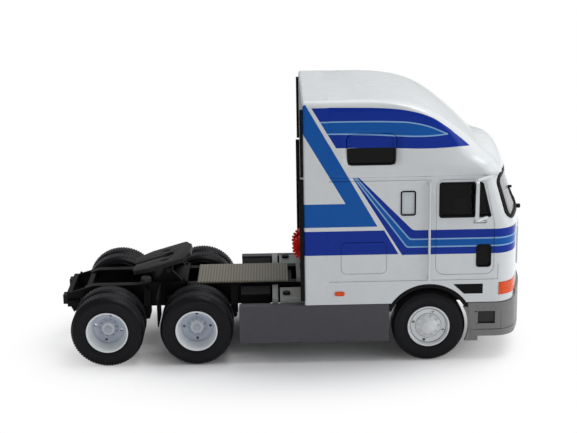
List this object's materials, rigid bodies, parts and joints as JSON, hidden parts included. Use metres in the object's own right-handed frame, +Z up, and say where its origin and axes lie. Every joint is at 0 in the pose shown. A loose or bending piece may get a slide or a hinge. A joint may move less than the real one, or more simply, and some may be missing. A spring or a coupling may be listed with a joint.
{
  "type": "scale model of a cab-over tractor unit",
  "caption": "Scale model of a cab-over truck tractor with a high-roof sleeper, twin rear axles that roll and a tilting fifth wheel.",
  "frame": {"origin": "on the ground, under the middle of the model's length and width", "axes": "+X towards the nose, +Y to the vehicle's left, +Z up"},
  "size_m": [0.1574, 0.0694, 0.0892],
  "materials": {
    "white_paint": "gloss",
    "frame_black": "satin",
    "tank_silver": "satin",
    "skirt_grey": "satin",
    "grille_black": "gloss",
    "bumper_grey": "satin",
    "deck_grey": "satin",
    "edge_rubber": "matte",
    "tyre_rubber": "satin",
    "clear_pane": "polished",
    "dark_pane": "polished",
    "rim_white": "gloss",
    "rod_steel": "satin",
    "interior_plastic": "matte",
    "coil_red": "gloss",
    "coil_blue": "gloss",
    "lamp_amber": "gloss",
    "lamp_red": "gloss",
    "lamp_clear": "polished"
  },
  "bodies": {
    "truck": {"cab_shell": "white_paint", "roof_fairing": "white_paint", "air_extender": "white_paint", "edge_rubbers": "edge_rubber", "windscreen": "clear_pane", "loft_glass": "dark_pane", "bumper": "bumper_grey", "frame_rails": "frame_black", "crossmembers": "frame_black", "deck_plate": "deck_grey", "engine_block": "frame_black", "front_axle_beam": "frame_black", "front_springs": "frame_black", "drive_shafts": "frame_black", "fuel_tanks": "tank_silver", "equipment_boxes": "frame_black", "side_skirts": "skirt_grey", "arch_liners": "edge_rubber", "cab_floor": "interior_plastic", "seats": "interior_plastic", "dashboard": "interior_plastic", "steering_wheel": "interior_plastic", "bunk": "interior_plastic", "mirrors": "white_paint", "grab_handles": "white_paint", "grille": "grille_black", "coupling_stand": "frame_black", "tail_lamps": "lamp_red", "mid_axle_housing": "frame_black", "rear_axle_housing": "frame_black", "rear_cab_mount": "skirt_grey", "tail_hangers": "frame_black", "trailing_arms": "frame_black", "hanger_brackets": "frame_black", "air_springs": "edge_rubber", "side_brackets": "frame_black", "side_vents": "edge_rubber", "headlamps": "lamp_clear", "corner_lamps": "lamp_amber", "marker_lamps": "lamp_amber", "wipers": "edge_rubber", "mud_flaps": "edge_rubber", "air_coil_red": "coil_red", "air_coil_blue": "coil_blue", "tank_caps": "edge_rubber", "bunk_glass": "clear_pane", "door_glass": "dark_pane", "coil_carrier": "frame_black"},
    "front_wheelset": {"front_axle_rod": "rod_steel", "front_rims": "rim_white", "front_tyres": "tyre_rubber"},
    "mid_wheelset": {"mid_axle_rod": "rod_steel", "mid_rims": "rim_white", "mid_tyres": "tyre_rubber"},
    "rear_wheelset": {"rear_axle_rod": "rod_steel", "rear_rims": "rim_white", "rear_tyres": "tyre_rubber"},
    "coupling": {"coupling_plate": "frame_black"}
  },
  "joints": [
    {"name": "front_wheels_roll", "type": "hinge", "parent": "truck", "child": "front_wheelset", "pos_m": [0.0453, 0, 0.0122], "axis": [0, 1, 0], "continuous": true},
    {"name": "mid_wheels_roll", "type": "hinge", "parent": "truck", "child": "mid_wheelset", "pos_m": [-0.0321, 0, 0.0122], "axis": [0, 1, 0], "continuous": true},
    {"name": "rear_wheels_roll", "type": "hinge", "parent": "truck", "child": "rear_wheelset", "pos_m": [-0.0619, 0, 0.0122], "axis": [0, 1, 0], "continuous": true},
    {"name": "plate_tilt", "type": "hinge", "parent": "truck", "child": "coupling", "pos_m": [-0.0422, 0, 0.027], "axis": [0, 1, 0], "range_deg": [0, 22]}
  ]
}
